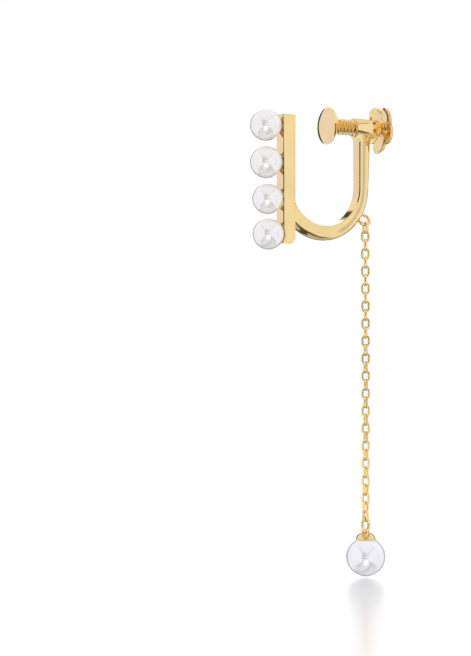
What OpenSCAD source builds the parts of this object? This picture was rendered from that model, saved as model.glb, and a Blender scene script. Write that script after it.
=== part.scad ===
/* [Bar with the pearl cups] */
// Depth of the bar from its front face to its back face
bar_depth = 2.1; // [1.8:0.05:2.4]
// Width of the bar from side to side
bar_width = 2.0; // [1.9:0.02:2.2]
// Height of the bar's top end above the screw axis
bar_top = 1.22; // [0.9:0.02:1.4]
// Distance of the bar's bottom end below the screw axis
bar_bottom = 17.4; // [17.1:0.05:17.6]
// Radius of the bar's upper back corner
top_round = 0.45; // [0.3:0.05:0.6]
// Radius of the bar's lower back corner
bottom_round = 1.2; // [0.8:0.1:1.4]

/* [Pearls on the bar] */
// Distances of the four pearl centres below the screw axis
pearl_drop = [0.48, 5.76, 11.0, 16.02]; // [0.3:0.02:16.2]
// Diameters of the four bar pearls, from the top down
pearl_d = [4.54, 4.64, 4.4, 4.5]; // [4.3:0.02:4.7]
// Distances of the four pearl centres in front of the bar's front face
pearl_stand = [2.36, 2.32, 2.08, 1.96]; // [1.9:0.02:2.4]
// Radius of the round cups cut in the bar behind the pearls
cup_r = 2.5; // [2.45:0.01:2.55]
// Diameter of the pegs that the pearls are glued on
peg_d = 0.7; // [0.6:0.05:0.8]

/* [U and arm] */
// Width of the U and the arm from side to side
u_width = 1.86; // [1.7:0.02:2.0]
// Inside radius of the U
u_inner_r = 5.75; // [5.6:0.05:5.9]
// Outside radius of the U
u_outer_r = 7.85; // [7.7:0.05:8.0]
// Distance of the U's centre behind the bar's back face
u_centre_x = 5.14; // [5.0:0.02:5.2]
// Distance of the U's centre below the screw axis
u_centre_drop = 8.88; // [8.7:0.02:9.0]
// How far the outside circle of the U lies forward of the inside circle
u_shift = 0.16; // [0.1:0.02:0.3]
// How far the back of the arm leans backwards at its top
arm_lean = 0.34; // [0.1:0.02:0.4]
// Radius of the fillets where the arm widens under the barrel
flare_r = 1.2; // [0.9:0.1:1.3]

/* [Barrel] */
// Outside diameter of the barrel
barrel_d = 2.78; // [2.7:0.02:2.9]
// Diameter of the barrel's bore
bore_d = 2.36; // [2.34:0.01:2.4]
// Distance of the barrel's front end behind the bar's back face
barrel_front = 10.3; // [10.2:0.1:10.5]
// Length of the barrel
barrel_length = 4.3; // [4.0:0.1:4.4]

/* [Clamp screw, pad and petal knob] */
// Outside diameter of the screw thread
thread_d = 2.3; // [2.2:0.01:2.32]
// Diameter at the root of the thread
root_d = 1.88; // [1.8:0.02:2.0]
// Pitch of the thread
thread_pitch = 0.6; // [0.5:0.05:0.7]
// Distance of the pad's face behind the bar's back face
lobe_gap = 5.65; // [5.0:0.05:6.4]
// Diameter of the clamp pad
pad_d = 5.4; // [5.0:0.1:5.8]
// Thickness of the clamp pad
pad_t = 0.35; // [0.3:0.05:0.5]
// Distance of the knob's back behind the bar's back face
knob_back = 15.85; // [15.7:0.05:16.2]
// Radius of the ball that the petals are curved on
petal_ball_r = 8.0; // [7.0:0.1:9.0]
// Thickness of the petals
petal_t = 0.4; // [0.3:0.05:0.5]
// Number of petals
petal_count = 5; // [5:1:5]
// Radius of each petal's round tip
petal_tip_r = 1.25; // [1.2:0.01:1.35]
// Distance of a petal tip's centre from the screw axis
petal_reach = 2.36; // [2.2:0.02:2.4]
// Turn of the lowest petal away from straight down, in degrees
petal_turn = 6; // [0:1:12]

/* [Chain and its loop] */
// Middle radius of the loop soldered on the U
loop_r = 0.9; // [0.88:0.01:0.94]
// Diameter of the loop's wire
loop_wire = 0.44; // [0.4:0.01:0.45]
// Distance of the loop's centre behind the bar's back face
loop_x = 12.21; // [12.1:0.01:12.26]
// Distance of the loop's centre below the screw axis
loop_drop = 13.48; // [13.44:0.01:13.52]
// Tilt of the loop, with its bottom towards the side that is seen, in degrees
loop_tilt = 30; // [20:1:35]
// Number of links in the chain
link_count = 34; // [34:1:34]
// Distance from one link to the next
link_pitch = 1.285; // [1.27:0.005:1.3]
// Free play between two links
link_play = 0.03; // [0.02:0.01:0.04]
// Outside width of a link
link_width = 1.36; // [1.32:0.01:1.4]
// Width of a link's hole
link_hole = 0.62; // [0.61:0.01:0.64]
// Thickness of the wire at a link's ends
link_end = 0.26; // [0.24:0.01:0.28]
// Thickness of a link across its flat
link_t = 0.3; // [0.28:0.01:0.31]
// Turn of the chain at its first link away from square to the bar's plane, in degrees
chain_turn = -24; // [-26:1:-20]
// Slow twist of the chain from one link to the next, in degrees
link_twist = 1.37; // [0:0.01:1.5]
// Turns of the first and last links, which follow the loop and the eye instead, in degrees
end_turns = [0, 3]; // [-6:1:10]

/* [Drop] */
// Diameter of the drop pearl
drop_d = 5.72; // [5.5:0.02:6.0]
// Outside diameter of the eye on the drop cap
eye_d = 2.0; // [1.9:0.02:2.1]
// Diameter of the eye's wire
eye_wire = 0.46; // [0.42:0.01:0.47]
// Outside radius of the drop cap
cap_r = 1.48; // [1.4:0.02:1.6]
// Wall of the drop cap
cap_wall = 0.28; // [0.22:0.02:0.34]
// Distance of the drop pearl's top below the eye's centre
drop_hang = 2.0; // [1.98:0.01:2.02]
// Number of grooves in the drop cap
groove_count = 5; // [4:1:8]

/* [Hidden] */
$fn = 64;
// Names of the chain's links, from link_01 at the loop to link_34 at the drop
link_names = [for (i = [1:link_count]) str("link_", i < 10 ? "0" : "", i)];

gold = "#e3bf73";
pearl_white = "#f1edea";
// Clearance between a pearl and its peg, and between other glued or turning pieces
fit = 0.03;
// Extra length that carries a cut past a face
over = 0.1;

// A peg ends this far past its pearl's centre, and is sunk this far in the bar
peg_reach = 0.6;
peg_root = 0.8;
u_z = -u_centre_drop;
arm_inner_x = u_centre_x + u_inner_r;
arm_outer_x = u_centre_x - u_shift + u_outer_r;
arm_outer_top_x = arm_outer_x + arm_lean;
arm_top_z = -0.9;
barrel_back = barrel_front + barrel_length;

pad_back = lobe_gap + pad_t;
pad_seat_d = 1.1;
pad_seat_depth = 0.2;
pad_bevel = 0.1;
pad_back_bevel = 0.15;
screw_nose = pad_back - pad_seat_depth + fit;
shoulder_x = pad_back + 2 * fit;
hub_d = 2.9;
hub_length = 0.75;
knob_floor = 0.4;
hub_front = knob_back - hub_length;
screw_end = knob_back - knob_floor;
ball_x = knob_back - petal_ball_r;
// Size of the petals' joined middle against the reach of their tips
petal_middle = 0.87;

link_length = link_pitch + link_play + 2 * link_end;
hole_length = link_pitch + link_play;
loop_z = -loop_drop;
// A link hangs this far clear of the round wire that it is threaded on
wire_play = 0.05;
// The chain hangs from the lowest place of the tilted loop
chain_y = -loop_r * sin(loop_tilt);
first_link_z = loop_z - loop_r * cos(loop_tilt) + loop_wire / 2 + wire_play - hole_length / 2;
last_link_z = first_link_z - (link_count - 1) * link_pitch;
hole_round = 0.12;

// Height of the middle of the last link's lower end, where the drop swings
swing_z = last_link_z - hole_length / 2 - link_end / 2;
eye_play = 0.1;
eye_z = swing_z + link_end / 2 + eye_play + eye_wire - eye_d / 2;
drop_top_z = eye_z - drop_hang;
drop_z = drop_top_z - drop_d / 2;
// The cap's round top is centred this far below the top of the drop pearl
cap_drop = 0.42;
cap_z = drop_top_z - cap_drop;
neck_d = 0.9;
neck_base = 0.2;
neck_length = 0.37;
drop_peg_d = 0.9;
drop_peg_length = 1.5;
// V grooves up the cap's side: their cutter is a square bar that leans in at the top
groove_side = 0.2;
groove_length = 2;
groove_lean = 14;
groove_z = -0.4;
// Turn of the first groove from the plane of the eye, in degrees
groove_turn = 58;

// Side outline of the bar, with its two round back corners
module bar_outline() {
    difference() {
        translate([-bar_depth, -bar_bottom]) square([bar_depth, bar_bottom + bar_top]);
        translate([0, bar_top]) corner_cut(top_round);
        translate([0, -bar_bottom]) mirror([0, 1]) corner_cut(bottom_round);
    }
}

// Waste outside a round upper back corner
module corner_cut(r) {
    translate([-r, -r]) difference() {
        square(r + over);
        circle(r);
    }
}

// Half ring of the U, with the inside circle set back so that the U is thicker in front
module u_outline() {
    intersection() {
        difference() {
            translate([u_centre_x - u_shift, u_z]) circle(u_outer_r);
            translate([u_centre_x, u_z]) circle(u_inner_r);
        }
        translate([-bar_depth / 2, u_z - 2 * u_outer_r])
            square([bar_depth / 2 + arm_outer_x + over, 2 * u_outer_r]);
    }
}

// Straight arm, which widens on fillets just below the barrel
module arm_outline() {
    top = arm_top_z;
    flare_z = top - flare_r;
    polygon([[arm_inner_x, u_z], [arm_outer_x, u_z], [arm_outer_top_x, flare_z],
        [arm_outer_top_x, top], [arm_inner_x, top]]);
    difference() {
        translate([arm_inner_x - flare_r / 2, flare_z])
            square([arm_outer_top_x - arm_inner_x + flare_r, flare_r]);
        translate([arm_inner_x - flare_r, flare_z]) circle(flare_r);
        translate([arm_outer_top_x + flare_r, flare_z]) circle(flare_r);
    }
}

// Turns a side outline into a solid of even width
module sideways(width) {
    rotate([90, 0, 0]) linear_extrude(height = width, center = true) children();
}

// A round bar lying along X, from x0 to x1
module rod(x0, x1, d) {
    translate([x0, 0, 0]) rotate([0, 90, 0]) rotate([0, 0, 20]) cylinder(h = x1 - x0, d = d);
}

// A ring of round wire in the XZ plane
module wire_ring(middle_r, wire_d) {
    rotate([90, 0, 0]) rotate_extrude() translate([middle_r, 0]) circle(d = wire_d, $fn = 32);
}

// Bar, cups, pegs, U, arm, barrel and chain loop, soldered into one piece
module frame() {
    color(gold) difference() {
        union() {
            difference() {
                sideways(bar_width) bar_outline();
                for (i = [0:3]) at_pearl(i) rotate([0, 90, 0]) sphere(cup_r);
            }
            for (i = [0:3]) at_pearl(i) rod(-peg_reach, pearl_stand[i] + peg_root, peg_d);
            sideways(u_width) u_outline();
            sideways(u_width) arm_outline();
            rod(barrel_front, barrel_back, barrel_d);
            translate([loop_x, 0, loop_z]) rotate([-loop_tilt, 0, 0]) wire_ring(loop_r, loop_wire);
        }
        rod(barrel_front - over, barrel_back + over, bore_d);
    }
}

module at_pearl(i) {
    translate([-bar_depth - pearl_stand[i], 0, -pearl_drop[i]]) children();
}

// A bar pearl, half drilled from behind for its peg
module pearl(i) {
    color(pearl_white) at_pearl(i) difference() {
        sphere(d = pearl_d[i]);
        rod(-peg_reach - fit, pearl_d[i], peg_d + 2 * fit);
    }
}

// Round pad with bevelled edges and a blind seat for the screw's nose
module pad() {
    color(gold) difference() {
        translate([lobe_gap, 0, 0]) rotate([0, 90, 0]) rotate_extrude() polygon([
            [0, 0], [pad_d / 2 - pad_bevel, 0], [pad_d / 2, pad_bevel],
            [pad_d / 2, pad_t - pad_back_bevel], [pad_d / 2 - pad_back_bevel, pad_t], [0, pad_t]]);
        rod(pad_back - pad_seat_depth, pad_back + over, pad_seat_d);
    }
}

// Thread as rows of points round the screw: the radius rises and falls once in each pitch
thread_sides = 16;
rows_per_turn = 4;
thread_rows = floor((screw_end - shoulder_x) / (thread_pitch / rows_per_turn));
nose_r = pad_seat_d / 2 - fit;
function row_x(j) = shoulder_x + (screw_end - shoulder_x) * j / thread_rows;
function wave(t) = abs(2 * (t - floor(t)) - 1);
function thread_r(x, k) = (root_d + (thread_d - root_d) * wave(x / thread_pitch - k / thread_sides)) / 2;
function ring_point(x, r, k) = [x, r * cos(360 * k / thread_sides), r * sin(360 * k / thread_sides)];
thread_points = concat(
    [for (x = [screw_nose, shoulder_x]) for (k = [0:thread_sides - 1]) ring_point(x, nose_r, k)],
    [for (j = [0:thread_rows]) for (k = [0:thread_sides - 1])
        ring_point(row_x(j), thread_r(row_x(j), k), k)]);
thread_last = thread_rows + 2;
thread_faces = concat(
    [[for (k = [0:thread_sides - 1]) k]],
    [for (j = [0:thread_last - 1]) for (k = [0:thread_sides - 1])
        let (a = j * thread_sides, n = (k + 1) % thread_sides)
        [a + k, a + thread_sides + k, a + thread_sides + n]],
    [for (j = [0:thread_last - 1]) for (k = [0:thread_sides - 1])
        let (a = j * thread_sides, n = (k + 1) % thread_sides)
        [a + k, a + thread_sides + n, a + n]],
    [[for (k = [0:thread_sides - 1]) thread_last * thread_sides + thread_sides - 1 - k]]);

// Threaded rod with a plain nose that turns in the pad
module clamp_screw() {
    color(gold) polyhedron(points = thread_points, faces = thread_faces);
}

// Flower outline of the knob, with one petal pointing down
module petal_outline() {
    circle(petal_reach * petal_middle);
    for (i = [0:petal_count - 1])
        rotate(petal_turn + i * 360 / petal_count) translate([petal_reach, 0]) circle(petal_tip_r);
}

// Cupped flower with a hub that is fixed on the screw's end
module petal_knob() {
    color(gold) difference() {
        union() {
            intersection() {
                difference() {
                    translate([ball_x, 0, 0]) sphere(petal_ball_r);
                    translate([ball_x, 0, 0]) sphere(petal_ball_r - petal_t);
                }
                translate([ball_x, 0, 0]) rotate([0, 90, 0])
                    linear_extrude(height = petal_ball_r + over) petal_outline();
            }
            rod(hub_front, knob_back - petal_t / 2, hub_d);
        }
        rod(hub_front - over, screw_end + fit, bore_d);
    }
}

// One flat link with a round outside and a hole with round corners, standing in the XZ plane
module link_shape() {
    side = link_width / 2;
    sideways(link_t) difference() {
        union() {
            for (end = [-1, 1]) translate([0, end * (link_length / 2 - side)]) circle(side);
            square([link_width, link_length - link_width], center = true);
        }
        union() {
            square([link_hole, hole_length - 2 * hole_round], center = true);
            square([link_hole - 2 * hole_round, hole_length], center = true);
            for (x = [-1, 1]) for (z = [-1, 1])
                translate([x * (link_hole / 2 - hole_round), z * (hole_length / 2 - hole_round)])
                    circle(hole_round, $fn = 24);
        }
    }
}

// Links are counted from the loop down, and each one is turned a quarter turn and a little more
function link_turn(i) = i == 1 ? 90 + end_turns[0] : i == link_count ? 90 + end_turns[1]
    : 90 + chain_turn - (i - 1) * (90 + link_twist);

module chain_link(i) {
    color(gold) translate([loop_x, chain_y, first_link_z - (i - 1) * link_pitch])
        rotate([0, 0, link_turn(i)]) link_shape();
}

// Places a piece of the drop below the last link, turned square to it
module at_drop(z) {
    translate([loop_x, chain_y, z]) rotate([0, 0, end_turns[1]]) children();
}

// Thin dome with an eye on top and a peg below, grooved from its rim upwards
module drop_cap() {
    color(gold) union() {
        difference() {
            at_drop(cap_z) sphere(cap_r);
            at_drop(cap_z) sphere(cap_r - cap_wall);
            at_drop(drop_z) sphere(drop_d / 2 + fit);
            for (i = [0:groove_count - 1]) at_drop(cap_z)
                rotate([0, 0, groove_turn + i * 360 / groove_count])
                translate([cap_r + groove_side / 2, 0, groove_z]) rotate([0, -groove_lean, 0])
                rotate([0, 0, 45]) cube([groove_side, groove_side, groove_length], center = true);
        }
        at_drop(eye_z) wire_ring((eye_d - eye_wire) / 2, eye_wire);
        at_drop(drop_top_z - drop_peg_length)
            cylinder(h = drop_peg_length + cap_r - cap_drop - cap_wall / 2, d = drop_peg_d);
        at_drop(cap_z + cap_r - neck_base) cylinder(h = neck_length, d = neck_d);
    }
}

// Drop pearl, half drilled from above for the cap's peg
module drop_pearl() {
    color(pearl_white) difference() {
        at_drop(drop_z) sphere(d = drop_d);
        at_drop(drop_top_z - drop_peg_length - fit)
            cylinder(h = drop_peg_length + 1, d = drop_peg_d + 2 * fit);
    }
}

frame();
pearl(0);  // pearl_1
pearl(1);  // pearl_2
pearl(2);  // pearl_3
pearl(3);  // pearl_4
pad();
clamp_screw();
petal_knob();
drop_cap();
drop_pearl();
for (i = [1:link_count])
    chain_link(i);
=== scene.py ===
import math

import bmesh
import bpy
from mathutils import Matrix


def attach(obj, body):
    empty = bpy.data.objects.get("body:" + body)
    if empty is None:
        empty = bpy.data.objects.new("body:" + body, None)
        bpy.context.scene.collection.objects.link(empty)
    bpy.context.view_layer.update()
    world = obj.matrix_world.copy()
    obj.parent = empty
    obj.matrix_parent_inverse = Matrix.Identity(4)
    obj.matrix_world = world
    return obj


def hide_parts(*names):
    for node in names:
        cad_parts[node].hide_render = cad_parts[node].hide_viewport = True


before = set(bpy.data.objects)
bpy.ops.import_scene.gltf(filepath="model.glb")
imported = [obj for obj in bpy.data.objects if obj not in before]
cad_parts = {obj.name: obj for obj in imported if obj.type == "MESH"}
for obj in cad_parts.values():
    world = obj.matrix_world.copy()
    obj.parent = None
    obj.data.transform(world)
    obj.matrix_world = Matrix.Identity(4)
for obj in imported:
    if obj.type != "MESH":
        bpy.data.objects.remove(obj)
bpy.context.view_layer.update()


# ---- Camera and studio -------------------------------------------------------------------
# A long lens looks along the side of the clip, almost level with the middle of the chain. The
# earring hangs in a white tent, over a pale floor that is smooth enough to mirror the drop faintly.

lens_yaw = math.radians(29)
camera_data = bpy.data.cameras.new("studio_camera")
camera_data.sensor_width = 36
camera_data.lens = 95.65
camera_data.clip_start = 0.01
camera = bpy.data.objects.new("studio_camera", camera_data)
bpy.context.scene.collection.objects.link(camera)
camera.location = (-0.128848, -0.215468, -0.031342)
camera.rotation_euler = (math.radians(90.427), 0, -lens_yaw)
bpy.context.scene.camera = camera
bpy.context.scene.view_settings.view_transform = "Standard"


class Flow:
    """A socket in a node tree, so that shader maths reads as Python."""

    def __init__(self, tree, socket):
        self.tree = tree
        self.socket = socket

    def node(self, kind, settings=None, **inputs):
        """Adds one node: its settings are set first, then its sockets, by name or by number."""
        made = self.tree.nodes.new(kind)
        for name, value in (settings or {}).items():
            setattr(made, name, value)
        for name, value in inputs.items():
            spot = int(name[1:]) if name[0] == "_" else name.replace("_", " ")
            if isinstance(value, Flow):
                self.tree.links.new(value.socket, made.inputs[spot])
            else:
                made.inputs[spot].default_value = value
        return made

    def maths(self, operation, *values):
        """The result of a Math node on these values."""
        made = self.node("ShaderNodeMath", {"operation": operation},
                         **{f"_{i}": v for i, v in enumerate(values)})
        return Flow(self.tree, made.outputs[0])

    def __add__(self, other):
        return self.maths("ADD", self, other)

    __radd__ = __add__

    def __sub__(self, other):
        return self.maths("SUBTRACT", self, other)

    def __rsub__(self, other):
        return self.maths("SUBTRACT", other, self)

    def __mul__(self, other):
        return self.maths("MULTIPLY", self, other)

    __rmul__ = __mul__

    def __abs__(self):
        return self.maths("ABSOLUTE", self)

    def rise(self, start, end):
        """0 below start and 1 above end, with a soft step between them; it falls if end is less."""
        made = self.node("ShaderNodeMapRange", {"interpolation_type": "SMOOTHSTEP"},
                         _0=self, _1=min(start, end), _2=max(start, end),
                         _3=0.0 if start < end else 1.0, _4=1.0 if start < end else 0.0)
        return Flow(self.tree, made.outputs[0])

    def within(self, start, end, soft):
        """1 between start and end, and 0 outside them, with soft edges."""
        return self.rise(start - soft, start) * self.rise(end + soft, end)

    def along(self, direction):
        """How far this vector goes along a direction."""
        made = self.node("ShaderNodeVectorMath", {"operation": "DOT_PRODUCT"},
                         _0=self, _1=direction)
        return Flow(self.tree, made.outputs["Value"])

    def clouds(self, fineness, detail):
        """Soft noise from 0 to 1 on this vector, with about fineness clouds to a metre."""
        made = self.node("ShaderNodeTexNoise", _0=self, _2=fineness, _3=detail)
        return Flow(self.tree, made.outputs[0])

    def colour_between(self, first, second):
        """A colour that goes from first to second as this value goes from 0 to 1."""
        made = self.node("ShaderNodeMix", {"data_type": "RGBA"}, _0=self, _6=first, _7=second)
        return Flow(self.tree, made.outputs[2])


# The tent is painted on the sky, by the direction from the earring: right and near are level, as
# the lens sees them. It has four panels round the lens with seams between them, and side walls
# that end in the dark of the room behind.
to_right = (math.cos(lens_yaw), -math.sin(lens_yaw), 0)
to_lens = (-math.sin(lens_yaw), -math.cos(lens_yaw), 0)
panel_slope = 0.85
world = bpy.data.worlds.new("tent")
bpy.context.scene.world = world
world.use_nodes = True
sky = world.node_tree
sky.nodes.clear()
output = Flow(sky, None).node("ShaderNodeOutputWorld")
seen = Flow(sky, sky.nodes.new("ShaderNodeTexCoord").outputs["Generated"])
right, up, near = seen.along(to_right), seen.along((0, 0, 1)), seen.along(to_lens)
front = near.rise(0.0, 0.1)
round_lens = near.rise(0.5, 0.6)
tall = (panel_slope * abs(up) - abs(right)).rise(-0.02, 0.03)
off_seam = abs(abs(right) - panel_slope * abs(up))
light = tall.colour_between((1.02, 1.03, 1.08, 1), (0.93, 0.91, 0.91, 1))
lower_panel = tall * up.rise(-0.2, -0.3)
underside = up.rise(-0.56, -0.86)
left_wall = right.rise(-0.7, -0.8) * near.rise(0.0, -0.2)
seams = off_seam.rise(0.06, 0.03) * front * 0.9
lower_seams = off_seam.rise(0.2, 0.08) * front * up.rise(-0.3, -0.56) * 0.95
right_seam = near.within(0.12, 0.32, 0.06) * right.rise(0.88, 0.93) * 0.35
for mask, colour in ((lower_panel, (0.8, 0.79, 0.78, 1)), (underside, (0.6, 0.61, 0.6, 1)),
                     (left_wall, (0.95, 0.94, 1.22, 1)), (seams, (0.12, 0.1, 0.1, 1)),
                     (lower_seams, (0.2, 0.16, 0.14, 1)), (right_seam, (0.2, 0.3, 0.4, 1))):
    light = mask.colour_between(light, colour)

# What is dark: the lens with the stand beside it, the room behind but for a lighter patch high on
# the left, a strip that runs aslant under the earring, and a low card at the right
darks = (
    right.within(-0.42, -0.04, 0.08) * up.within(-0.2, 0.46, 0.06) * round_lens * 0.97,
    right.within(-0.04, 0.2, 0.06) * up.within(-0.2, 0.34, 0.06) * round_lens * 0.42,
    near.rise(-0.66, -0.72) * (1 - 0.6 * up.rise(0.42, 0.52) * right.rise(-0.3, -0.22)) * 0.96,
    abs(near - 1.3 * right - 0.06).rise(0.26, 0.14) * up.rise(-0.66, -0.74) * 0.92,
    right.within(0.02, 0.66, 0.04) * up.within(-0.72, -0.54, 0.06) * near.rise(0.34, 0.4) * 0.6,
)
room_colour = (0.035, 0.045, 0.04, 1)
bright = 1.0
for dark in darks:
    bright = bright * (1 - dark)
light = (1 - bright).colour_between(light, room_colour)

# What is brighter than the panels: a sheet behind the drop, a lamp under the lens, and the small
# light that shows in the middle of the lens
sheet = near.rise(-0.84, -0.9) * up.within(-0.06, 0.5, 0.03) * abs(right).rise(0.24, 0.18)
lamp = abs(right).rise(0.36, 0.04) * abs(up + 0.47).rise(0.36, 0.06) * near.rise(0.4, 0.6)
small_light = abs(right).rise(0.07, 0.03) * abs(up - 0.02).rise(0.07, 0.03) * round_lens
for mask, power in ((sheet, 1.8), (lamp, 2.15), (small_light, 2.5)):
    light = mask.colour_between(light, (power, power, power, 1))

# Only mirrored rays see the tent; the lens and the matt surfaces see an even white
lit = light.node("ShaderNodeBackground", _0=light, _1=1.0)
plain = light.node("ShaderNodeBackground", _0=(1, 1, 1, 1), _1=1.0)
ray = sky.nodes.new("ShaderNodeLightPath")
even = Flow(sky, ray.outputs["Is Camera Ray"]) + Flow(sky, ray.outputs["Is Diffuse Ray"])
both = light.node("ShaderNodeMixShader", _0=even, _1=Flow(sky, lit.outputs[0]),
                  _2=Flow(sky, plain.outputs[0]))
sky.links.new(both.outputs[0], output.inputs["Surface"])


def new_material(name):
    """A new material, with its Principled shader and a Flow of the object's own coordinates."""
    material = bpy.data.materials.new(name)
    material.use_nodes = True
    tree = material.node_tree
    shader = tree.nodes["Principled BSDF"]
    place = Flow(tree, tree.nodes.new("ShaderNodeTexCoord").outputs["Object"])
    return material, shader, place


# The floor is a smooth white sheet just below the drop. The tent's underside stands for it in
# what the earring mirrors, so the sheet itself is left out of that.
floor_level = -0.06614
bpy.ops.object.select_all(action="DESELECT")
bpy.ops.mesh.primitive_plane_add(size=3, location=(0.0, 0.0, floor_level))
floor = bpy.context.object
floor.name = "floor"
floor.visible_glossy = False
floor.visible_diffuse = False
floor_white, shader, place = new_material("floor_white")
white = place.clouds(30.0, 2.0).rise(0.3, 0.7).colour_between((0.77, 0.77, 0.77, 1),
                                                             (0.79, 0.79, 0.79, 1))
place.tree.links.new(white.socket, shader.inputs["Base Color"])
shader.inputs["Roughness"].default_value = 0.27
floor.data.materials.append(floor_white)


# ---- Clip frame: bar, U, arm, barrel and chain ring ------------------------------------------
# One piece of 18 karat yellow gold, polished all over. The bar has a round cup and a peg for each
# pearl; the U is soldered to its back, rounded outside, and carries the barrel on its arm.

def ripple(place, shader, fineness, strength, deep):
    """Faint waves in a polished surface; deep is in metres."""
    bump = place.node("ShaderNodeBump", _0=strength, _1=deep, Height=place.clouds(fineness, 1.0))
    place.tree.links.new(bump.outputs[0], shader.inputs["Normal"])


def polished(name, colour, rough):
    """Polished gold: its colour drifts a little, and the polish leaves faint soft waves."""
    material, shader, place = new_material(name)
    paler = tuple(min(1.0, part * 1.03) for part in colour) + (1,)
    deeper = tuple(part * 0.965 for part in colour) + (1,)
    drift = place.clouds(260.0, 2.0).rise(0.3, 0.7).colour_between(deeper, paler)
    wiped = rough + 0.03 * place.clouds(900.0, 2.0)
    place.tree.links.new(drift.socket, shader.inputs["Base Color"])
    place.tree.links.new(wiped.socket, shader.inputs["Roughness"])
    ripple(place, shader, 700.0, 0.12, 0.00001)
    shader.inputs["Metallic"].default_value = 1.0
    return material


polished_gold = polished("polished_gold", (0.871, 0.658, 0.305), 0.035)


def clear_selection():
    """Nothing is selected or being edited before a new primitive is added."""
    if bpy.context.mode != "OBJECT":
        bpy.ops.object.mode_set(mode="OBJECT")
    bpy.ops.object.select_all(action="DESELECT")


def settle():
    """Puts the place, turn and size of the selected piece into its mesh."""
    bpy.ops.object.transform_apply(location=True, rotation=True, scale=True)


def select_alone(piece):
    """Selects one piece and makes it the active one."""
    clear_selection()
    bpy.context.view_layer.objects.active = piece
    piece.select_set(True)


def pick(kind, wanted):
    """In edit mode, selects the vertices, edges or faces that wanted() accepts."""
    bpy.ops.object.mode_set(mode="EDIT")
    bpy.ops.mesh.select_mode(type=kind)
    bpy.ops.mesh.select_all(action="DESELECT")
    shape = bmesh.from_edit_mesh(bpy.context.object.data)
    for part in {"VERT": shape.verts, "EDGE": shape.edges, "FACE": shape.faces}[kind]:
        if wanted(part):
            part.select_set(True)
    shape.select_flush_mode()
    bmesh.update_edit_mesh(bpy.context.object.data)


def reshape(moved):
    """In edit mode, puts every vertex where moved() says."""
    shape = bmesh.from_edit_mesh(bpy.context.object.data)
    for vertex in shape.verts:
        vertex.co = moved(vertex.co)
    bmesh.update_edit_mesh(bpy.context.object.data)


def middle(edge):
    """Middle of an edge."""
    return (edge.verts[0].co + edge.verts[1].co) / 2


def runs(edge, axis):
    """Whether an edge runs along one axis: 0 is x, 1 is y and 2 is z."""
    way = edge.verts[1].co - edge.verts[0].co
    return abs(way[axis]) > 0.99 * way.length


def bevel(width, segments):
    """Rounds the selected edges."""
    bpy.ops.mesh.bevel(offset=width, offset_type="OFFSET", segments=segments, profile=0.5)


def rod(radius, length, x, z=0.0, sides=120):
    """A cylinder that lies along x, with its middle at x and z."""
    clear_selection()
    bpy.ops.mesh.primitive_cylinder_add(vertices=sides, radius=radius, depth=length,
                                        location=(x, 0, z), rotation=(0, math.pi / 2, 0))
    settle()
    return bpy.context.object


def cut(piece, tool, operation):
    """Cuts tool out of piece, or joins it on, and removes the tool."""
    select_alone(piece)
    step = piece.modifiers.new("cut", "BOOLEAN")
    step.operation = operation
    step.object = tool
    step.solver = "EXACT"
    bpy.ops.object.modifier_apply(modifier=step.name)
    bpy.data.objects.remove(tool)


def finish(piece, name, material, body, nodes, angle=35):
    """Brings a piece modelled in millimetres to its place in metres, smooths it and fixes it."""
    select_alone(piece)
    piece.name = name
    settle()
    bpy.ops.object.mode_set(mode="EDIT")
    bpy.ops.mesh.select_all(action="SELECT")
    bpy.ops.mesh.normals_make_consistent(inside=False)
    bpy.ops.object.mode_set(mode="OBJECT")
    bpy.ops.transform.resize(value=(0.001, 0.001, 0.001), center_override=(0, 0, 0))
    settle()
    bpy.ops.object.shade_smooth_by_angle(angle=math.radians(angle))
    piece.data.materials.clear()
    piece.data.materials.append(material)
    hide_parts(*nodes)
    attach(piece, body)
    return piece


def keep_flats(piece):
    """Lets the large flat faces keep their own direction, so that they mirror as flat metal."""
    step = piece.modifiers.new("flats", "WEIGHTED_NORMAL")
    step.keep_sharp = True
    step.weight = 100
    bpy.context.view_layer.objects.active = piece
    bpy.ops.object.modifier_apply(modifier=step.name)


# The bar's back is at x = 0; its front edge on the lens's side is a narrow slope. Edges and
# points are found by their place, to within a hair.
hair, sharp_angle = 0.01, 1.2
bar_front, bar_top, bar_bottom, half_width = -2.1, 1.22, -17.4, 1.0
top_round, bottom_round, back_edge, side_edge = 0.45, 1.2, 0.26, 0.1
front_slope, slope_back = 0.09, 0.04
clear_selection()
bpy.ops.mesh.primitive_cube_add(size=1, location=(bar_front / 2, 0, (bar_top + bar_bottom) / 2))
bar = bpy.context.object
bar.scale = (-bar_front, 2 * half_width, bar_top - bar_bottom)
settle()
pick("EDGE", lambda e: runs(e, 1) and middle(e).x > -hair and middle(e).z > 0)
bevel(top_round, 6)
pick("EDGE", lambda e: runs(e, 1) and middle(e).x > -hair and middle(e).z < bar_bottom + hair)
bevel(bottom_round, 10)
pick("EDGE", lambda e: runs(e, 2) and middle(e).x < bar_front + hair and middle(e).y < 0)
bevel(front_slope, 1)
pick("VERT", lambda v: v.co.y < -half_width + hair and v.co.x < bar_front + 2 * front_slope)
bpy.ops.transform.translate(value=(slope_back, 0, 0))
pick("EDGE", lambda e: runs(e, 2) and middle(e).x > -hair)
bevel(back_edge, 2)
pick("EDGE", lambda e: abs(middle(e).y) > half_width - hair and len(e.link_faces) == 2
     and e.calc_face_angle() > sharp_angle)
bevel(side_edge, 2)

# The cups are cut by balls that share the pearls' centres
pearl_centres = ((-4.46, -0.48), (-4.42, -5.76), (-4.18, -11.0), (-4.06, -16.02))
cup_r = 2.5
for x, z in pearl_centres:
    clear_selection()
    bpy.ops.mesh.primitive_uv_sphere_add(segments=96, ring_count=48, radius=cup_r,
                                         location=(x, 0, z), rotation=(0, math.pi / 2, 0))
    cut(bar, bpy.context.object, "DIFFERENCE")

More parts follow.
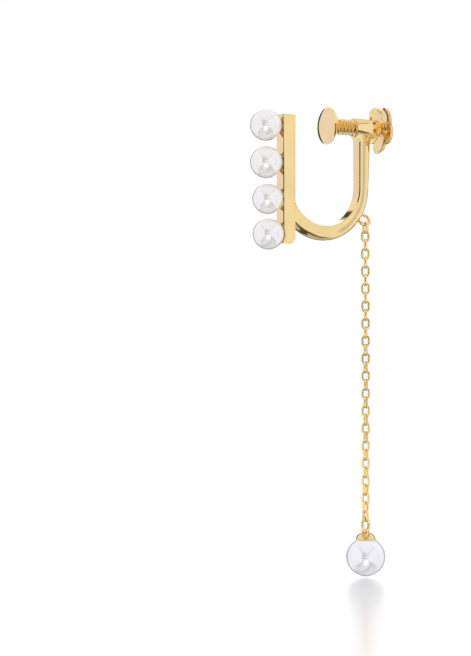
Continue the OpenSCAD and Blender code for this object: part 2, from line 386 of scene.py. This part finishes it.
# The U starts as its section at the foot of the arm, and is spun half a turn to the bar
u_centre, inner_r, u_deep, u_width = (5.14, 0, -8.88), 5.75, 2.1, 1.86
outside_round, inside_slope = 0.92, 0.1
arm_inside = u_centre[0] + inner_r
outside = arm_inside + u_deep
clear_selection()
bpy.ops.mesh.primitive_plane_add(size=1, location=(arm_inside + u_deep / 2, 0, u_centre[2]))
u_arm = bpy.context.object
u_arm.scale = (u_deep, u_width, 1)
settle()
pick("VERT", lambda v: v.co.x > arm_inside + u_deep / 2)
bpy.ops.mesh.bevel(offset=outside_round, affect="VERTICES", segments=14, profile=0.54)
pick("VERT", lambda v: v.co.x < arm_inside + hair)
bpy.ops.mesh.bevel(offset=inside_slope, affect="VERTICES", segments=1, profile=0.5)

# The half-round outside is stretched until it meets the narrow slopes of the inner edges
stretch, slope_out = 2.1, 0.05
reshape(lambda at: (outside - stretch * (outside - at.x) if outside - at.x < outside_round + hair
                    else at.x + slope_out * (at.x > arm_inside + inside_slope / 2), at.y, at.z))
bpy.ops.mesh.select_all(action="SELECT")
bpy.ops.mesh.spin(steps=84, angle=-math.pi, center=u_centre, axis=(0, 1, 0))

# The outside circle lies a little forward of the inside one, so the U is thicker in front
u_shift, end_in_bar = 0.16, -1
reshape(lambda at: (at.x - u_shift * (math.hypot(at.x - u_centre[0], at.z - u_centre[2]) - inner_r)
                    / u_deep, at.y, at.z))
bpy.ops.mesh.select_all(action="SELECT")
bpy.ops.mesh.bisect(plane_co=(end_in_bar, 0, 0), plane_no=(1, 0, 0), clear_inner=True,
                    use_fill=True)

# The arm goes straight up with its back leaning out, and widens just below the barrel
arm_high, arm_lean, arm_deep = 6.78, 0.34, 1.94
pick("FACE", lambda f: f.calc_center_median().x > u_centre[0]
     and f.calc_center_median().z > u_centre[2] - hair)
bpy.ops.mesh.extrude_region_move(TRANSFORM_OT_translate={"value": (0, 0, arm_high)})
reshape(lambda at: (at.x + arm_lean * (at.x - arm_inside) / arm_deep, at.y, at.z)
        if at.z > u_centre[2] + arm_high / 2 else at)
arm_middle, half_arm, half_widest, flare_r, flare_steps = (12.03, 0, 0), 1.14, 1.74, 1.2, 8
half_now = half_arm
for step in range(1, flare_steps + 1):
    rise = flare_r * step / flare_steps
    half_next = min(half_arm + flare_r - math.sqrt(flare_r ** 2 - rise ** 2), half_widest)
    bpy.ops.mesh.extrude_region_move(
        TRANSFORM_OT_translate={"value": (0, 0, flare_r / flare_steps)})
    bpy.ops.transform.resize(value=(half_next / half_now, 1, 1), center_override=arm_middle)
    half_now = half_next
bpy.ops.mesh.select_all(action="SELECT")
bpy.ops.mesh.normals_make_consistent(inside=False)

# The barrel is a tube with softened ends; its bore is cut last, through the solder of the arm
barrel_x, barrel_long, barrel_r = 12.35, 4.1, 1.39
bore_x, bore_long, bore_r = 12.45, 6, 1.18
barrel = rod(barrel_r, barrel_long, barrel_x)
for end_x in (barrel_x - barrel_long / 2, barrel_x + barrel_long / 2):
    pick("EDGE", lambda e: abs(middle(e).x - end_x) < hair)
    bevel(side_edge, 2)
cut(u_arm, barrel, "UNION")
cut(u_arm, rod(bore_r, bore_long, bore_x), "DIFFERENCE")
cut(bar, u_arm, "UNION")

# Ring of round wire for the chain, soldered aslant under the U, and the pegs for the pearls
ring_x, ring_z, ring_r, ring_wire_r, ring_tilt = 12.21, -13.48, 0.9, 0.22, math.radians(60)
peg_r, peg_long, peg_forward = 0.35, 2.9, 0.85
clear_selection()
bpy.ops.mesh.primitive_torus_add(location=(ring_x, 0, ring_z), rotation=(ring_tilt, 0, 0),
                                 major_radius=ring_r, minor_radius=ring_wire_r, major_segments=64,
                                 minor_segments=20)
cut(bar, bpy.context.object, "UNION")
for x, z in pearl_centres:
    cut(bar, rod(peg_r, peg_long, x + peg_forward, z, sides=24), "UNION")
keep_flats(finish(bar, "clip_frame", polished_gold, "clip", ["frame"]))


# ---- Bar pearls ------------------------------------------------------------------------------
# Four round cultured pearls, white with a faint pink overtone, half drilled and glued on the pegs
# of the bar. Their nacre is smooth, and mirrors the tent over a milky body.

def nacre(name, body_colour, overtone, rim_shade_colour, rough, glaze, glaze_rough):
    """Milky nacre with a mirror sheen: the overtone shows in soft clouds, and the rim is deeper as
    painted shade.
    """
    material, shader, place = new_material(name)
    facing = Flow(place.tree, place.node("ShaderNodeLayerWeight", _0=0.5).outputs[1])
    edge = facing * facing * facing * facing
    colour = (place.clouds(420.0, 2.0).rise(0.35, 0.7) * 0.3).colour_between(body_colour, overtone)
    # The rim colour is painted shade, mixed in towards the outline by the angle of view; part of
    # its warmth is the nacre's own overtone.
    colour = (edge.rise(0.3, 0.95) * 0.85).colour_between(colour, rim_shade_colour)
    place.tree.links.new(colour.socket, shader.inputs["Base Color"])
    shader.inputs["Metallic"].default_value = 0.25
    shader.inputs["Roughness"].default_value = rough
    shader.inputs["Specular IOR Level"].default_value = 0.2
    shader.inputs["Coat Weight"].default_value = glaze
    shader.inputs["Coat Roughness"].default_value = glaze_rough
    ripple(place, shader, 800.0, 0.005, 0.00002)
    return material


def drilled_pearl(diameter, deep):
    """A pearl about the origin, a little out of round, with a hole drilled in its top for a peg."""
    uneven, waves_x, waves_y, hole_r = 0.004, 2.1, 1.7, 0.36
    clear_selection()
    bpy.ops.mesh.primitive_uv_sphere_add(segments=96, ring_count=64, radius=diameter / 2,
                                         location=(0, 0, 0))
    pearl = bpy.context.object
    pick("VERT", lambda v: True)
    reshape(lambda at: at * (1 + uneven * math.sin(waves_x * at.x + 0.7)
                             * math.cos(waves_y * at.y - 0.4)))
    pick("FACE", lambda f: f.calc_center_median().z > 0
         and math.hypot(*f.calc_center_median().xy) < hole_r)
    bpy.ops.mesh.extrude_region_move(TRANSFORM_OT_translate={"value": (0, 0, -deep)})
    bpy.ops.object.mode_set(mode="OBJECT")
    return pearl


# The last colour is the painted shade at the pearls' rim, a little warmed by their overtone.
pink_nacre = nacre("bar_pearl_nacre", (0.97, 0.95, 0.94, 1), (0.97, 0.925, 0.90, 1),
                   (0.94, 0.73, 0.61, 1), 0.13, 0.12, 0.09)
bar_pearl_ds, bar_pearl_hole = (4.54, 4.64, 4.4, 4.5), 1.3
for number, (x, z), diameter in zip(range(1, 5), pearl_centres, bar_pearl_ds):
    bar_pearl = drilled_pearl(diameter, bar_pearl_hole)
    bar_pearl.rotation_euler = (0, math.pi / 2, 0)
    bar_pearl.location = (x, 0, z)
    finish(bar_pearl, f"bar_pearl_{number}", pink_nacre, "clip",
           [f"pearl_{number}"])


# ---- Clamp pad -------------------------------------------------------------------------------
# A thin gold disc that presses on the back of the lobe. Its face is polished flat and falls away
# gently at the rim; the screw's nose turns in a seat in its back.

pad_r, pad_edge, pad_edge_x, pad_back_round = 2.7, 0.15, 5.925, 0.1
pad = rod(pad_r, pad_edge, pad_edge_x, sides=128)
pick("EDGE", lambda e: min(v.co.x for v in e.verts) > pad_edge_x + pad_edge / 2 - hair)
bevel(pad_back_round, 3)
pick("FACE", lambda f: f.normal.x < -0.9)
for inwards, forwards in ((0.14, 0.058), (0.28, 0.078), (0.3, 0.058), (0.2, 0.02)):
    bpy.ops.mesh.inset(thickness=inwards, depth=0)
    bpy.ops.transform.translate(value=(-forwards, 0, 0))
keep_flats(finish(pad, "clamp_pad_disc", polished_gold, "clamp_pad", ["pad"]))


# ---- Clamp screw -----------------------------------------------------------------------------
# A threaded rod of gold that runs through the barrel. The thread is rounded at crest and root;
# the screw's nose turns in the pad, and the knob is fixed on its other end.

pitch, crest_r, root_r, turns, first_crest_x = 0.6, 1.15, 0.64, 18, 5.4
thread_front, thread_back = 6.08, 15.44
nose_r, nose_long, nose_x, nose_round = 0.5, 0.27, 5.975, 0.05
clear_selection()
bpy.ops.mesh.primitive_plane_add(size=1, location=(0, 0, 0))
screw = bpy.context.object
pick("VERT", lambda v: v.co.y < 0)
bpy.ops.mesh.delete(type="VERT")
pick("EDGE", lambda e: True)
bpy.ops.mesh.subdivide(number_cuts=11)


def on_thread(at):
    """A point of the line becomes a point of one turn's outline, from crest to crest."""
    part = at.x + 0.5
    ridge = 0.5 + 0.5 * math.cos(2 * math.pi * part)
    return (first_crest_x + pitch * part, 0, root_r + (crest_r - root_r) * ridge)


reshape(on_thread)
bpy.ops.object.mode_set(mode="OBJECT")
winding = screw.modifiers.new("winding", "SCREW")
winding.axis = "X"
winding.angle = 2 * math.pi
winding.screw_offset = pitch
winding.iterations = turns
winding.steps = winding.render_steps = 48
bpy.ops.object.modifier_apply(modifier=winding.name)
for end_x, is_front in ((thread_front, True), (thread_back, False)):
    pick("VERT", lambda v: True)
    bpy.ops.mesh.bisect(plane_co=(end_x, 0, 0), plane_no=(1, 0, 0), use_fill=True,
                        clear_inner=is_front, clear_outer=not is_front)
nose = rod(nose_r, nose_long, nose_x, sides=32)
pick("EDGE", lambda e: max(v.co.x for v in e.verts) < nose_x - nose_long / 2 + hair)
bevel(nose_round, 2)


def join(piece, other):
    """Makes the other piece part of this one."""
    select_alone(piece)
    other.select_set(True)
    bpy.ops.object.join()


join(screw, nose)
finish(screw, "clamp_screw_thread", polished_gold, "thumb_screw",
       ["clamp_screw"], angle=60)


# ---- Petal knob ------------------------------------------------------------------------------
# A cupped flower of five petals, cast in gold with thick rolled rims, hollow towards the lobe.
# It is fixed on the screw's end by the hub in its middle, and one petal points nearly down.

ball_centre_x, ball_middle_r = 7.85, 7.8
petals, petal_reach, petal_tip_r, knob_middle_r, petal_turn = 5, 2.11, 1.5, 2.3, 6
half_petal = 180 / petals
knob_half_thick, rolled_rim, petal_dish, dish_start, dish_run = 0.16, 0.06, 0.16, 1.0, 1.6
flat_rings, flat_reach, lip_at, lip_wide, rim_wide = 0.7, 0.9, 0.93, 0.08, 0.2
groove_start, groove_deep, groove_half_angle = 1.5, 0.14, 4
clear_selection()
bpy.ops.mesh.primitive_uv_sphere_add(segments=240, ring_count=40, radius=1, location=(0, 0, 0))
knob = bpy.context.object


def on_petal(at):
    """A point of a ball becomes a point of the flower: its top is the back, the rest the hollow."""
    ring = math.acos(max(-1.0, min(1.0, at.z))) / math.pi
    turn = math.atan2(at.y, at.x)
    out = 1 - abs(2 * ring - 1)
    side = -1 if ring > 0.5 else 1
    off_axis = (math.degrees(turn) - petal_turn + half_petal) % (2 * half_petal) - half_petal
    across = petal_reach * math.sin(math.radians(off_axis))
    tip = petal_reach * math.cos(math.radians(off_axis)) + math.sqrt(
        max(0.0, petal_tip_r ** 2 - across ** 2))
    tip = max(tip, knob_middle_r)
    if out < flat_rings:
        reach, half_thick = flat_reach * out / flat_rings, knob_half_thick
    else:
        roll = (out - flat_rings) / (1 - flat_rings) * math.pi / 2
        reach = flat_reach + (1 - flat_reach) * math.sin(roll)
        half_thick = knob_half_thick * math.cos(roll)
    if out < 0.999:
        half_thick += rolled_rim * max(0.0, 1 - ((reach - lip_at) / lip_wide) ** 2)
    radius = tip * reach
    dish = petal_dish * (1 - (off_axis / half_petal) ** 2) * max(
        0.0, min(1.0, (radius - dish_start) / dish_run))
    dish *= 1 - max(0.0, (reach - 1 + rim_wide) / rim_wide) ** 2
    if radius > groove_start:
        off_notch = half_petal - abs(off_axis)
        dish += groove_deep * max(0.0, 1 - (off_notch / groove_half_angle) ** 2)
    ball = ball_middle_r + half_thick * side
    x = ball_centre_x + math.sqrt(max(ball ** 2 - radius ** 2, 0.0)) + dish
    return (x, radius * math.sin(turn), -radius * math.cos(turn))


pick("VERT", lambda v: True)
reshape(on_petal)
hub_r, hub_long, hub_x, hub_round = 1.35, 0.55, 15.575, 0.12
hub = rod(hub_r, hub_long, hub_x, sides=64)
pick("EDGE", lambda e: max(v.co.x for v in e.verts) < hub_x - hub_long / 2 + hair)
bevel(hub_round, 3)
join(knob, hub)
finish(knob, "petal_knob_flower", polished_gold, "thumb_screw",
       ["petal_knob"], angle=60)


# ---- Chain -----------------------------------------------------------------------------------
# Thirty-four links of flattened gold wire, each soldered shut round its neighbour. Each link
# hangs a quarter turn from the one above, and the whole chain has a slow twist.

# The chain's gold is the frame's gold painted lighter, as painted light on the links; it is also
# rougher.
chain_gold = polished("chain_gold", (1.0, 0.77, 0.35), 0.2)
link_count, link_pitch, first_link_z, chain_x, chain_y = 34, 1.285, -14.6469, ring_x, -0.45
chain_turn, next_turn, end_turns = 66, 91.37, {1: 90, 34: 93}
link_r, link_straight, hole_half_w, hole_half_h, link_half_t = 0.68, 0.2375, 0.275, 0.6575, 0.2
round_r, round_wire_r = 2.0, 0.5


def round_ring(around, through):
    """A ring about the y axis with points round it and through its wire, to be reshaped."""
    clear_selection()
    bpy.ops.mesh.primitive_torus_add(location=(0, 0, 0), rotation=(math.pi / 2, 0, 0),
                                     major_radius=round_r, minor_radius=round_wire_r,
                                     major_segments=around, minor_segments=through)
    settle()
    return bpy.context.object


def on_ring(at):
    """Where a point of the round ring is: its angle round the ring, and round the wire."""
    return math.atan2(at.z, at.x), math.atan2(at.y, math.hypot(at.x, at.z) - round_r)


def on_link(at):
    """A point of a round ring becomes a point of the flat link, which is long in z."""
    turn, tube = on_ring(at)
    c, s = abs(math.cos(turn)), abs(math.sin(turn))
    inner = ((c / hole_half_w) ** 6 + (s / hole_half_h) ** 6) ** (-1 / 6)
    if c * link_straight > s * link_r:
        outer = link_r / c
    else:
        outer = link_straight * s + math.sqrt(link_r ** 2 - (link_straight * c) ** 2)
    wide = math.copysign(abs(math.cos(tube)) ** 0.5, math.cos(tube))
    thick = math.copysign(abs(math.sin(tube)) ** 0.5, math.sin(tube))
    reach = (inner + outer) / 2 + (outer - inner) / 2 * wide
    return (reach * math.cos(turn), link_half_t * thick, reach * math.sin(turn))


link = round_ring(40, 16)
pick("VERT", lambda v: True)
reshape(on_link)
bpy.ops.object.mode_set(mode="OBJECT")
for number in range(1, link_count + 1):
    select_alone(link)
    bpy.ops.object.duplicate()
    hung = bpy.context.object
    turn = end_turns.get(number, chain_turn - (number - 1) * next_turn)
    hung.rotation_euler = (0, 0, math.radians(turn))
    hung.location = (chain_x, chain_y, first_link_z - (number - 1) * link_pitch)
    finish(hung, f"chain_link_{number:02d}", chain_gold, "clip",
           [f"link_{number:02d}"], angle=50)
bpy.data.objects.remove(link)


# ---- Drop cap --------------------------------------------------------------------------------
# A thin gold dome with leaf shapes folded in its side and an oval eye soldered on top, which is
# threaded on the last link. It is glued in the pearl by a peg that is hidden, and isn't made here.

cap_rim_z, cap_high, cap_rim_r, rim_high, dome_power = -60.58, 1.34, 1.44, 0.2, 1.18
leaves, apex_turn, leaf_open, leaf_fold, leaf_hollow, fold_wide = 3, 240, 0.6, 0.34, 0.06, 0.15
dome_rings, inside_part, cap_wall, fold_top, fold_foot = 0.86, 0.86, 0.3, 0.15, 0.95
rim_roll, rim_groove, rim_groove_at, rim_groove_half = 0.05, 0.16, 0.6, 0.35
clear_selection()
bpy.ops.mesh.primitive_uv_sphere_add(segments=180, ring_count=60, radius=1, location=(0, 0, 0))
cap = bpy.context.object


def on_cap(at):
    """A point of a ball becomes a point of the cap: its top is the outside, the rest the inside.
    Flat leaves stand between narrow Vs, whose points reach down nearly to the rolled rim."""
    ring = math.acos(max(-1.0, min(1.0, at.z))) / math.pi
    turn = math.atan2(at.y, at.x)
    out = 1 - abs(2 * ring - 1)
    slope = min(1.0, out / dome_rings)
    tilt = math.radians(90 * slope)
    rises, reaches = math.cos(tilt), math.sin(tilt)
    radius = cap_rim_r * reaches ** dome_power
    height = rim_high + (cap_high - rim_high) * abs(rises) ** dome_power
    if ring > 0.5:
        return (radius * inside_part * math.cos(turn), radius * inside_part * math.sin(turn),
                cap_rim_z + (height - cap_wall) * min(1.0, 2 * (1 - out)))
    half_leaf = 180 / leaves
    lean = (math.degrees(turn) - apex_turn + half_leaf) % (2 * half_leaf) - half_leaf
    across = min(1.0, leaf_open * (height - rim_high) / max(radius, 0.05))
    open_half = min(half_leaf, math.degrees(math.asin(across)))
    if out > dome_rings:
        roll = (out - dome_rings) / (1 - dome_rings)
        off_groove = (roll - rim_groove_at) / rim_groove_half
        radius = cap_rim_r + rim_roll - rim_groove * max(0.0, 1 - off_groove ** 2)
        height = rim_high * (1 - roll)
    else:
        wide = fold_wide / max(radius, 0.2) * 30
        fold = math.exp(-((abs(lean) - open_half) / wide) ** 2) * (fold_top < slope < fold_foot)
        hollow = (abs(lean) < open_half) * math.sin(math.pi * slope)
        sunk = leaf_fold * fold + leaf_hollow * hollow
        radius -= sunk * reaches
        height -= sunk * rises
    return (radius * math.cos(turn), radius * math.sin(turn), cap_rim_z + height)


pick("VERT", lambda v: True)
reshape(on_cap)
bpy.ops.object.mode_set(mode="OBJECT")
cap.location = (chain_x, chain_y, 0)
settle()
eye_z, eye_turn, eye_half_t, eye_half_w, eye_half_h = -58.449, 3, 0.24, 0.845, 1.3
eye_hole_half_w, eye_hole_half_h, eye_hole_up = 0.30, 0.69, 0.153
eye = round_ring(72, 24)


def on_eye(at):
    """A point of a round ring becomes a point of the oval eye, with its thickest part below."""
    turn, tube = on_ring(at)
    inner = (eye_hole_half_w * math.cos(turn), eye_hole_half_h * math.sin(turn) + eye_hole_up)
    outer = (eye_half_w * math.cos(turn), eye_half_h * math.sin(turn))
    part = 0.5 + 0.5 * math.cos(tube)
    return (inner[0] + (outer[0] - inner[0]) * part, eye_half_t * math.sin(tube),
            inner[1] + (outer[1] - inner[1]) * part)


pick("VERT", lambda v: True)
reshape(on_eye)
bpy.ops.object.mode_set(mode="OBJECT")
eye.rotation_euler = (0, 0, math.radians(eye_turn))
eye.location = (chain_x, chain_y, eye_z)
settle()
join(cap, eye)
finish(cap, "drop_cap_dome", polished_gold, "drop", ["drop_cap"], angle=60)


# ---- Drop pearl ------------------------------------------------------------------------------
# A larger round cultured pearl, white with a faint lavender overtone, half drilled from above and
# glued on the peg of its cap.

# The last colour is the painted shade at the pearl's rim, a little warmed by its overtone.
lavender_nacre = nacre("drop_pearl_nacre", (0.965, 0.955, 0.985, 1), (0.95, 0.92, 0.96, 1),
                       (0.92, 0.82, 0.80, 1), 0.1, 0.15, 0.03)
drop_d, drop_z, drop_hole = 5.72, -63.0094, 2.6
drop_pearl = drilled_pearl(drop_d, drop_hole)
drop_pearl.location = (chain_x, chain_y, drop_z)
finish(drop_pearl, "drop_pearl_round", lavender_nacre, "drop", ["drop_pearl"])
